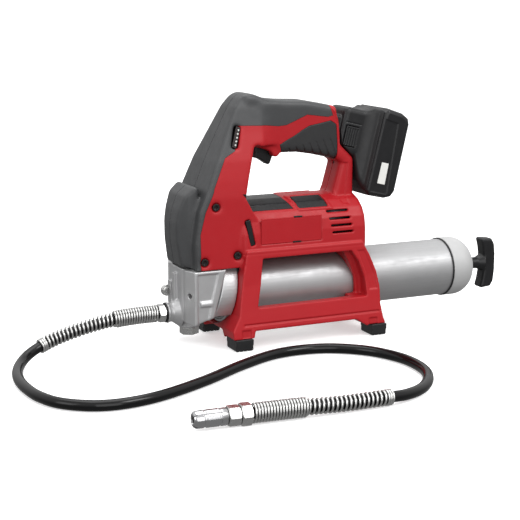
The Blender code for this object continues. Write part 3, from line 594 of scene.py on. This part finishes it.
def left_openings():
    """The left half's top cooling slot, screw seats and gauge pocket."""
    slot = block(-32.5, -9, -44, -26, 121.2, 123.4)
    seats = [rod((x, -SCREW_OUT, z), SCREW_OUT - SCREW_SEAT, SCREW_WALL, axis="Y", sides=32)
             for x, z in SCREWS]
    holes = [rod((x, -SCREW_OUT, z), 15, 2.25, axis="Y", sides=24) for x, z in SCREWS]
    pocket = gauge_place(block(-2.6, 2.6, -30, -17.2, -10.2, 10.2))
    return [slot, *seats, *holes, pocket]


def half_body(whole, side):
    """One half of the body, with its grooves, recesses and raised frames."""
    body = meet(copy_of(whole), block(-250, 60, *both(side, 0.1, 70), 0, 260))
    frame_region = cut(side_region(SHOULDER_FRAME, side, 9.5, 40),
                       side_region(grown(SHOULDER_FRAME, -2.6), side, 11.5, 34))
    body = raised(body, frame_region, (0, side * 0.35, 0.8))
    body = raised(body, side_region(REAR_RIM, side, 10), (0, side * 0.9, 0))
    for outline, depth in SUNK_AREAS:
        body = sunk(body, side_region(outline, side, 30), (0, -side * depth, 0))
    body = sunk(body, side_region(POST_PANEL, side, 10), (0, -side * 0.9, 0))
    body = cut(body, *[block(x0 - 4, x1 + 4, *both(side, 26, 60), 0, FOOT_TOP + SEAM)
                       for _, (x0, x1) in FEET])
    if side < 0:
        body = cut(body, *left_openings())
    return soften(body, voxel=0.62, rounds=2, keep=0.3)


def finger_ribs(side):
    """Slanted strips in side view, one for each groove of the finger grip."""
    strips = []
    for k in range(7):
        top_x, top_z = -21.5 - 7.3 * k, 190.2 - 1.15 * k
        low_x, low_z = -13.5 - 7.6 * k, 170
        strips.append(side_region([(top_x - 0.5, top_z), (top_x + 0.5, top_z),
                                   (low_x + 1.5, low_z), (low_x - 1.5, low_z)], side, -1))
    return strips


def slot_shade_sheet(side):
    """Dark backing behind the tall slot and the cooling slots of one side, painted shade for the
    inside seen through them.
    """
    shade_sheet = block(-2.3, 2.3, side * 33.4 - 3, side * 33.4 + 3, -12.1, 12.1)
    shade_sheet.data.transform(Matrix.Translation((TALL_SLOT_X * MM, 0, TALL_SLOT_Z * MM))
                         @ Matrix.Rotation(TALL_SLOT_LEAN, 4, "Y"))
    behind = block(-34, -6, *both(side, 27.5, 28.5), 98, 126)
    shade_sheet = soften(shade_sheet, voxel=0.3, rounds=3, keep=0.4)
    return join(shade_sheet, behind)


def make_housing():
    covers = []
    whole = whole_body()
    for side_name, side in SIDES:
        body = half_body(whole, side)
        skin = meet(copy_of(body), side_region(grown(SOFT_FRONT, -SEAM), side, -2))
        finger = meet(copy_of(body), side_region(grown(SOFT_FINGER, -SEAM), side, -2))
        covers.append(meet(copy_of(body), side_region(grown(COVER, -SEAM), side, -2)))
        shell = cut(body, *[side_region(outline, side, -2)
                            for outline in (SOFT_FRONT, SOFT_FINGER, COVER)])
        for strip in finger_ribs(side):
            finger = sunk(finger, strip, (0, -side * 0.7, 0.9))
        place_piece(shell, side_name + "_housing_shell", side_name + "_housing", sharp=40)
        place_piece(skin, side_name + "_grip_soft", side_name + "_grip_skin", sharp=40)
        finger = soften(finger, voxel=0.5, rounds=2, keep=0.5)
        place_piece(finger, side_name + "_finger_soft", side_name + "_finger_grip",
                    material="soft_dark")
        # The dark backing behind the slots is painted shade.
        place_piece(slot_shade_sheet(side), side_name + "_slot_shade_sheet", side_name + "_housing",
                    material="black_plastic")
    drop(whole)
    place_piece(join(*covers), "motor_cover_soft", "motor_cover",
                material="black_plastic", sharp=40)


def make_panels():
    for side_name, side in SIDES:
        outer = side * 38
        panel = node_copy(side_name + "_side_panel")
        grooves = [block(-102.2, -41.8, outer - 1, outer + 1, z, z + 0.5) for z in (98.6, 119.0)]
        grooves += [block(x, x + 0.5, outer - 1, outer + 1, 98.6, 119.5)
                    for x in (-100.2, -43.4)]
        panel = soften(cut(panel, *grooves), voxel=0.35, rounds=2, keep=0.35)
        place_piece(panel, side_name + "_panel_moulded", side_name + "_side_panel")
        clips = [block(x, x + 8.6, side * 37.1 - 1, side * 37.1 + 1, z, z + 1.3)
                 for x, z in ((-69.8, 120.3), (-70.8, 96.4))]
        clips = soften(join(*clips), voxel=0.22, rounds=2, keep=0.5)
        place_piece(clips, side_name + "_panel_clips", side_name + "_side_panel",
                    material="black_plastic")
        plate = node_copy(side_name + "_rating_plate")
        plate = soften(plate, voxel=0.4, rounds=3, keep=0.4)
        place_piece(plate, side_name + "_plate_blank", side_name + "_rating_plate")


def make_gauge():
    """The slanted charge gauge, whose face follows the column's side, and its five lamps."""
    faces = [[(-2.3, -17.5, z), (2.3, -17.5, z), (2.3, GAUGE_SLOPE * z - 23.9, z),
              (-2.3, GAUGE_SLOPE * z - 23.9, z)] for z in (-9.9, 9.9)]
    gauge = gauge_place(soften(loft(faces), voxel=0.25, rounds=3, keep=0.4))
    place_piece(gauge, "fuel_gauge_body", "fuel_gauge", material="near_black_metal")
    marks = [gauge_place(rod((0.6, GAUGE_SLOPE * z - 24.2, z), 1.6, 0.8, axis="Y", sides=20))
             for z in (-7, -3.5, 0, 3.5, 7)]
    place_piece(join(*marks), "fuel_gauge_marks", "fuel_gauge", material="marks", sharp=30)


def make_feet():
    for end, (x0, x1) in FEET:
        for side_name, side in SIDES:
            node = "%s_%s_foot" % (side_name, end)
            treads = [block(x0 + 3.2 + 4 * k, x0 + 4.4 + 4 * k, *both(side, 20, 60), -1, 1.2)
                      for k in range(3)]
            upper = block(x0, x1, side * 40.2 - 11.6, side * 40.2 + 11.6, 6, FOOT_TOP)
            foot = cut(join(node_copy(node), upper), *treads)
            foot = soften(foot, voxel=0.45, rounds=4, keep=0.4)
            place_piece(foot, node + "_moulded", node)


# ---- pump head ------------------------------------------------------------------------
HEAD_RECESS = [(-166.2, 72.8), (-145.8, 72.8), (-147.2, 66.5), (-152.4, 46.0), (-157.0, 22.0),
               (-166.2, 22.0)]
LEDGE = [(32.2, 50.2), (35.0, 45.2), (34.9, 42.2), (32.2, 42.2)]
BOSS_R = 9.6
BOSS_CORE = 9.0              # radius left to the boss's own solid


def make_pump_head():
    head = node_copy("pump_head")
    for side in (-1, 1):
        head = sunk(head, side_region(HEAD_RECESS, side, 20, 40), (0, -side * 1.3, 0))
        ledge = prism([(side * y, z) for y, z in LEDGE], -163.4, -151.4, view="front")
        head = join(head, ledge)
    flare = cut(rod((-179.4, 0, BOSS_Z), 7, BOSS_R, end_radius=14.5),
                rod((-184, 0, BOSS_Z), 12, BOSS_CORE))
    rim = cut(rod((-185.6, 0, BOSS_Z), 2.2, BOSS_R + 0.3),
              rod((-190, 0, BOSS_Z), 12, BOSS_CORE))
    ribs = [block(-177.6, -172, -3, 3, 38, 70), block(-177, -172, 7.5, 16.5, 38, 60)]
    head = soften(join(head, flare, rim, *ribs), voxel=0.5, rounds=9, keep=0.4)
    place_piece(head, "pump_head_cast", "pump_head")
    collar = soften(node_copy("barrel_collar"), voxel=0.5, rounds=4, keep=0.4)
    place_piece(collar, "barrel_collar_cast", "barrel_collar")
    eye = join(node_copy("strap_eye"), rod((-179.9, 9.6, 50.6), 4.8, 3.4, axis="Y", sides=32))
    eye = soften(eye, voxel=0.25, rounds=3, keep=0.5)
    place_piece(eye, "strap_eye_turned", "strap_eye")
    plug = soften(node_copy("pump_bore_plug"), voxel=0.3, rounds=3, keep=0.5)
    place_piece(plug, "pump_bore_plug_turned", "pump_bore_plug")


def make_screws():
    # The screw heads are near-black with a red tint: painted shade of their deep recesses.
    for number in (1, 2, 3):
        node = "body_screw_%d" % number
        screw = soften(node_copy(node), voxel=0.22, rounds=2, keep=0.5)
        place_piece(screw, node + "_head", node, material="near_black_metal")


# ---- barrel ---------------------------------------------------------------------------
def make_barrel():
    on_axis = Matrix.Translation((0, 0, AXIS_Z * MM))
    low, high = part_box("barrel_tube")
    x0, x1 = low.x / MM, high.x / MM
    inner = BARREL_R - BARREL_WALL
    tube = [(x0, inner), (x1, inner), (x1, BARREL_R - 0.5), (x1 - 0.7, BARREL_R),
            (x1 - 1.1, BARREL_R), (x0 + 1.1, BARREL_R), (x0 + 0.7, BARREL_R),
            (x0, BARREL_R - 0.5)]
    place_piece(lathe(tube, on_axis, 160), "barrel_drawn_tube", "barrel_tube", sharp=40)
    seal = rounded([(114.4, 28.75), (115.7, 28.75), (115.7, 29.85), (114.4, 29.85)], 0.4)
    place_piece(lathe(seal, on_axis, 128), "barrel_seal_ring", "barrel_seal")
    dome = [(127 + 20.6 * sin(k * pi / 36), 8 + 21.9 * cos(k * pi / 36)) for k in range(18)]
    cap = [(116, 29.5), (116.4, 29.9), (116.8, 29.9), *dome, (147.9, 7.8), (148.5, 7.2),
           (148.5, 4.6), (145.1, 4.5), (143.6, 10), (140.2, 17.5), (136.4, 22), (131.5, 25.2),
           (126, 26.6), (117.4, 26.6), (117.4, 28.9), (116, 28.9)]
    place_piece(lathe(cap, on_axis, 128), "barrel_cap_cast", "barrel_end_cap", sharp=50)


def make_pull_handle():
    grip = node_copy("pull_handle")
    flare = cut(rod((161, 0, AXIS_Z), 7, 6.0, end_radius=9.5), rod((158, 0, AXIS_Z), 12, 5.5))
    ring = cut(rod((151.4, 0, AXIS_Z), 0.8, 9), rod((150, 0, AXIS_Z), 6, 5.5))
    grip = soften(cut(join(grip, flare), ring), voxel=0.45, rounds=12, keep=0.4)
    place_piece(grip, "pull_handle_moulded", "pull_handle")


# ---- controls and battery -------------------------------------------------------------
def make_trigger():
    trigger = soften(node_copy("trigger"), voxel=0.35, rounds=6, keep=0.5)
    place_piece(trigger, "trigger_moulded", "trigger")


def slid(item):
    """Move a piece built along the battery's slide to its place."""
    item.data.transform(Matrix.Translation((SLIDE_X * MM, 0, SLIDE_Z * MM))
                        @ Matrix.Rotation(TILT, 4, "Y"))
    return item


def neck_flare():
    """The concave fillet by which the battery's neck spreads into its case."""
    neck_low, corner, count = -24.6, 5.0, 8
    rings = []
    for k in range(count + 1):
        x = 19 + 18.5 * k / count
        spread = 1 - (1 - (k / count) ** 2) ** 0.5
        half = 17.2 + 10.6 * spread
        top = 20.3 + 5.0 * min(1.0, k / 5) ** 2
        low = -46.7 - 1.2 * (x - 30)
        if x < 30:
            low = min(neck_low, neck_low - 2.6 * (x - 21.5))
        ring = []
        for quarter, (cy, cz) in enumerate(((half, top), (-half, top), (-half, low),
                                            (half, low))):
            for step in range(5):
                angle = pi / 2 * (quarter + step / 4)
                y = cy - corner * (1 if cy > 0 else -1) + corner * cos(angle)
                z = cz - corner * (1 if cz > 0 else -1) + corner * sin(angle)
                ring.append((x, y, z))
        rings.append(ring)
    return slid(loft(rings))


def make_battery():
    case = node_copy("battery_case")
    panel = [(39.5, -55), (59.3, -55), (54.5, 15.2), (39.8, 16.6)]
    label = [(46.2, -45.6), (54.7, -45.6), (54.0, -24.8), (46.2, -24.8)]
    seam = cut(block(61.0, 61.7, -40, 40, -80, 40), block(50, 70, -28.8, 28.8, -75, 20.0))
    case = cut(case, slid(seam))
    labels = []
    for side in (-1, 1):
        case = cut(case, slid(prism(panel, *both(side, 28.8, 40))))
        labels.append(slid(prism(label, *both(side, 28.3, 29.05))))
    labels = soften(join(*labels), voxel=0.25, rounds=2, keep=0.3)
    place_piece(labels, "battery_labels_blank", "battery_case", material="marks")
    case = join(case, slid(block(38.5, 46, -18.2, 18.2, 18.5, 25.4)))
    case = soften(case, voxel=0.5, rounds=4, keep=0.35)
    place_piece(case, "battery_case_moulded", "battery_case")
    stem = join(node_copy("battery_stem"), neck_flare())
    for side in (-1, 1):
        stem = cut(stem, slid(block(4, 22, *both(side, 16.6, 30), 5.2, 6.3)))
    stem = soften(stem, voxel=0.5, rounds=9, keep=0.4)
    place_piece(stem, "battery_stem_moulded", "battery_stem", material="battery_plastic")
    for side_name, side in SIDES:
        node = side_name + "_battery_latch"
        ribs = [slid(block(7.6 + 2.6 * k, 8.8 + 2.6 * k, *both(side, 17.7, 25), -15.6, 1.2))
                for k in range(5)]
        latch = soften(cut(node_copy(node), *ribs), voxel=0.28, rounds=2, keep=0.5)
        place_piece(latch, node + "_moulded", node, material="battery_plastic")


# ---- hose -----------------------------------------------------------------------------
HOSE_ROUTE = [(-194, 0, 32), (-214, 0, 32), (-234, 0, 30.9), (-254, 0, 28.2),
              (-274, 0, 24), (-293, -1, 19), (-309, -4.5, 14), (-322, -12, 9.4),
              (-332.5, -26, 6), (-340, -46, 4.9), (-344, -70, HOSE_R), (-344, -95, HOSE_R),
              (-340, -120, HOSE_R), (-329, -143, HOSE_R), (-307, -160, HOSE_R),
              (-281, -164.5, HOSE_R), (-247, -157, HOSE_R), (-200, -134, HOSE_R),
              (-151, -103.5, HOSE_R), (-107, -84, HOSE_R), (-64, -86, HOSE_R),
              (-31, -109, HOSE_R), (-14, -144, HOSE_R), (-13.5, -179, HOSE_R),
              (-24, -206, HOSE_R), (-43, -228, HOSE_R), (-66, -241.5, HOSE_R + 1.1),
              (-90, -246, HOSE_R + 2.6), (-126, -246, 7.6), (-152, -244.3, 8.2),
              (-168, -243.2, 8.7), (-186, -241.9, 8.8), (-206, -240.4, 8.8)]
GUARD_A = (118.0, 41.0)      # spring guard at the pump head: length, and its tight stretch
GUARD_B = (123.0, 46.0)      # spring guard at the coupler


def smooth_route(route, count):
    """Evenly spaced points on a Catmull-Rom curve through the route's own points."""
    nodes = [Vector(p) for p in route]
    nodes = [nodes[0] * 2 - nodes[1]] + nodes + [nodes[-1] * 2 - nodes[-2]]
    fine = []
    for a, b, c, d in zip(nodes, nodes[1:], nodes[2:], nodes[3:]):
        for step in range(24):
            t = step / 24
            fine.append(0.5 * (2 * b + (c - a) * t + (2 * a - 5 * b + 4 * c - d) * t * t
                               + (3 * b - a - 3 * c + d) * t ** 3))
    fine.append(nodes[-2])
    total = [0.0]
    for p, q in zip(fine, fine[1:]):
        total.append(total[-1] + (q - p).length)
    points, index = [], 0
    for k in range(count):
        goal = total[-1] * k / (count - 1)
        while index < len(fine) - 2 and total[index + 1] < goal:
            index += 1
        share = (goal - total[index]) / (total[index + 1] - total[index])
        points.append(fine[index].lerp(fine[index + 1], min(share, 1)))
    return points


def route_length(points):
    return sum((q - p).length for p, q in zip(points, points[1:]))


def along(points, distance):
    """The point and heading at a distance from a route's start."""
    for p, q in zip(points, points[1:]):
        step = (q - p).length
        if distance <= step:
            return p.lerp(q, distance / step), (q - p).normalized()
        distance -= step
    return points[-1], (points[-1] - points[-2]).normalized()


def spring_guard(route, start, stretches):
    """A wound wire guard: a row of (length, helix radius, pitch) stretches along the route."""
    wire, per_turn = 1.02, 22
    points = []
    angle, walked = 0.0, 0.0
    length = sum(s[0] for s in stretches)
    while walked <= length:
        reach, radius, pitch = 0.0, stretches[-1][1], stretches[-1][2]
        for long, r, p in stretches:
            reach += long
            if walked <= reach:
                radius, pitch = r, p
                break
        if points:
            radius = 0.85 * last_radius + 0.15 * radius
        last_radius = radius
        centre, heading = along(route, start + walked)
        side = heading.cross(Vector((0, 0, 1))).normalized()
        up = side.cross(heading)
        points.append(centre + (side * cos(angle) + up * sin(angle)) * radius)
        angle += 2 * pi / per_turn
        walked += pitch / per_turn
    return tube_mesh(points, wire)


def hexed(x0, x1, flat, bore, place):
    """A chamfered hexagon along X with a bore; flat is the distance from its axis to a flat."""
    corner = flat / cos(pi / 6)
    profile = [(x0, bore), (x1, bore), (x1, flat * 0.98), (x1 - 1.1, corner + 0.1),
               (x0 + 1.1, corner + 0.1), (x0, flat * 0.98)]
    return meet(lathe(profile, place), hex_prism(x0 - 1, x1 + 1, corner, place))


def hex_prism(x0, x1, corner, place):
    bm = bmesh.new()
    bmesh.ops.create_cone(bm, cap_ends=True, segments=6, radius1=corner * MM,
                          radius2=corner * MM, depth=(x1 - x0) * MM)
    bm.transform(place @ Matrix.Translation(((x0 + x1) / 2 * MM, 0, 0)) @ AXES["X"])
    return from_bmesh(bm)


def hose_curve(line):
    """The hose itself, as a round curve along its line."""
    curve = bpy.data.curves.new("hose_line", "CURVE")
    curve.dimensions = "3D"
    curve.bevel_depth = HOSE_R * MM
    curve.bevel_resolution = 7
    curve.use_fill_caps = True
    spline = curve.splines.new("POLY")
    spline.points.add(len(line) - 1)
    for point, place in zip(spline.points, line):
        point.co = (*(place * MM), 1)
    curve.materials.append(MATERIAL["hose_rubber"])
    return working(curve, "hose_line")


def make_hose():
    route = smooth_route(HOSE_ROUTE, 76)
    line = smooth_route(HOSE_ROUTE, 304)
    total = route_length(line)
    hose = hose_curve(line)
    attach(hose, BODY["hose"])
    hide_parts("hose")

    tight, open_wound, end_turns = (7.25, 2.5), (5.8, 3.9), (6.0, 5.8, 2.1)
    first = spring_guard(line, 0.8, [(GUARD_A[1], *tight),
                                     (GUARD_A[0] - GUARD_A[1] - 7.5, *open_wound), end_turns])
    last = spring_guard(line, total - GUARD_B[0] + 0.8,
                        [end_turns, (GUARD_B[0] - GUARD_B[1] - 7.5, *open_wound),
                         (GUARD_B[1] - 0.6, *tight)])
    on_hose = [place_piece(first, "guard_spring_inlet", "hose_guard_inlet"),
               place_piece(last, "guard_spring_outlet", "hose_guard_outlet")]

    boss = Matrix.Translation((0, 0, BOSS_Z * MM))
    nut = hexed(-193.7, -187.2, 7.9, 2.4, boss)
    neck = lathe([(-188, 2.4), (-185, 2.4), (-185, 6.6), (-188, 6.6)], boss)
    on_hose.append(place_piece(join(nut, neck), "inlet_nut_hex", "hose_inlet_nut", sharp=30))
    ring = rounded([(-186.4, 6.9), (-185, 6.9), (-185, 9.5), (-186.4, 9.5)], 0.5)
    on_hose.append(place_piece(lathe(ring, boss), "outlet_seal_ring", "outlet_seal"))

    end, before = route[-1], route[-4]
    heading = Vector((end.x - before.x, end.y - before.y, 0)).normalized()
    turn = Vector((-1, 0, 0)).rotation_difference(heading).to_matrix().to_4x4()
    place = Matrix.Translation(end * MM) @ turn
    on_hose.append(place_piece(hexed(-9.3, -0.3, 8.2, 2.4, place), "hose_end_hex_chamfered",
                               "hose_end_hex", material="zinc_steel", sharp=30))
    on_hose.append(place_piece(hexed(-19.6, -9.6, 7.4, 2.4, place), "coupler_hex",
                               "coupler_body", sharp=30))
    on_hose.append(make_coupler_sleeve(place))


def make_coupler_sleeve(place):
    """The grease coupler: a band between two grooves, a stepped sleeve and jaws at its mouth."""
    x1 = -19.9
    x0 = x1 - 27.5
    profile = [(x0 + 0.8, 3.2), (x0 + 9, 4.4), (x1 - 2, 4.4), (x1, 2.4), (x1, 6.4),
               (x1 - 1.2, 7.1), (x1 - 5.2, 7.15), (x1 - 5.6, 6.6), (x1 - 6.8, 6.6),
               (x1 - 7.2, 7.15), (x1 - 17.0, 7.15), (x1 - 17.6, 6.7), (x1 - 19.2, 6.7),
               (x1 - 19.8, 7.1), (x0 + 2.4, 7.0), (x0 + 0.6, 6.0), (x0, 5.2), (x0, 3.6)]
    sleeve = lathe(profile, place)
    slits = []
    for k in range(4):
        slit = block(x0 - 1, x0 + 2.6, -0.35, 0.35, 2, 9)
        spin = Matrix.Rotation(pi / 4 + k * pi / 2, 4, "X")
        slit.data.transform(place @ spin)
        slits.append(slit)
    sleeve = cut(sleeve, *slits)
    return place_piece(sleeve, "coupler_sleeve_jaws", "coupler_sleeve", sharp=30)


# ---- studio ---------------------------------------------------------------------------
FLOOR_RADIUS = 40            # metres
FLOOR_DROP = 0.0002          # metres below the feet
FLOOR_GLOW = 0.45
LIGHT_AIM = (-0.08, -0.05, 0.08)


def make_studio():
    bm = bmesh.new()
    bmesh.ops.create_circle(bm, cap_ends=True, segments=96, radius=FLOOR_RADIUS)
    floor = from_bmesh(bm)
    floor.name = "floor"
    floor.location.z = -FLOOR_DROP
    n = Nodes("floor_paper")
    paper = n.mix(n.noise(3), (0.90, 0.90, 0.90), (0.92, 0.92, 0.92))
    n.feed(n.shader.inputs["Base Color"], paper)
    n.feed(n.shader.inputs["Roughness"], 0.75)
    floor.data.materials.append(n.material)
    floor.visible_diffuse = False
    floor.visible_glossy = False
    n.feed(n.shader.inputs["Emission Color"], (1, 1, 1, 1))
    n.feed(n.shader.inputs["Emission Strength"], FLOOR_GLOW)
    bpy.context.scene.world = make_sky()
    bpy.context.scene.view_settings.view_transform = "Standard"
    softbox("key", (0.9, -1.6, 1.7), 1.0, 22)
    softbox("top", (-0.1, 0.3, 1.9), 1.6, 20)
    softbox("front", (-0.5, -2.3, 0.7), 1.7, 17)
    softbox("side", (-2.0, -0.6, 0.8), 1.0, 7)


def make_sky():
    """An even white overhead that falls to grey near the horizon, as in a studio tent."""
    world = bpy.data.worlds.new("studio")
    world.use_nodes = True
    tree = world.node_tree
    place = tree.nodes.new("ShaderNodeTexCoord")
    parts = tree.nodes.new("ShaderNodeSeparateXYZ")
    ramp = tree.nodes.new("ShaderNodeMapRange")
    ramp.interpolation_type = "SMOOTHSTEP"
    for limit, number in (("From Min", -0.25), ("From Max", 0.62), ("To Min", 0.30),
                          ("To Max", 1.05)):
        ramp.inputs[limit].default_value = number
    tree.links.new(place.outputs["Generated"], parts.inputs[0])
    tree.links.new(parts.outputs["Z"], ramp.inputs[0])
    tree.links.new(ramp.outputs[0], tree.nodes["Background"].inputs["Strength"])
    tree.nodes["Background"].inputs["Color"].default_value = (1, 1, 1, 1)
    return world


def softbox(name, place, size, power):
    """A square lamp, its place and size in metres and its power in watts."""
    data = bpy.data.lights.new(name, "AREA")
    data.shape = "SQUARE"
    data.size = size
    data.energy = power
    light = bpy.data.objects.new(name, data)
    bpy.context.scene.collection.objects.link(light)
    light.location = place
    light.rotation_mode = "QUATERNION"
    aim = Vector(LIGHT_AIM) - Vector(place)
    light.rotation_quaternion = aim.to_track_quat("-Z", "Y")


def paint_frame():
    """Give every CAD node still shown its finish."""
    for node, item in frame["nodes"].items():
        item.data.materials.clear()
        item.data.materials.append(MATERIAL[SLOT[node]])


make_camera()
MATERIAL = make_materials()
make_hose()
paint_frame()
make_housing()
make_panels()
make_gauge()
make_feet()
make_pump_head()
make_screws()
make_barrel()
make_pull_handle()
make_trigger()
make_battery()
make_studio()
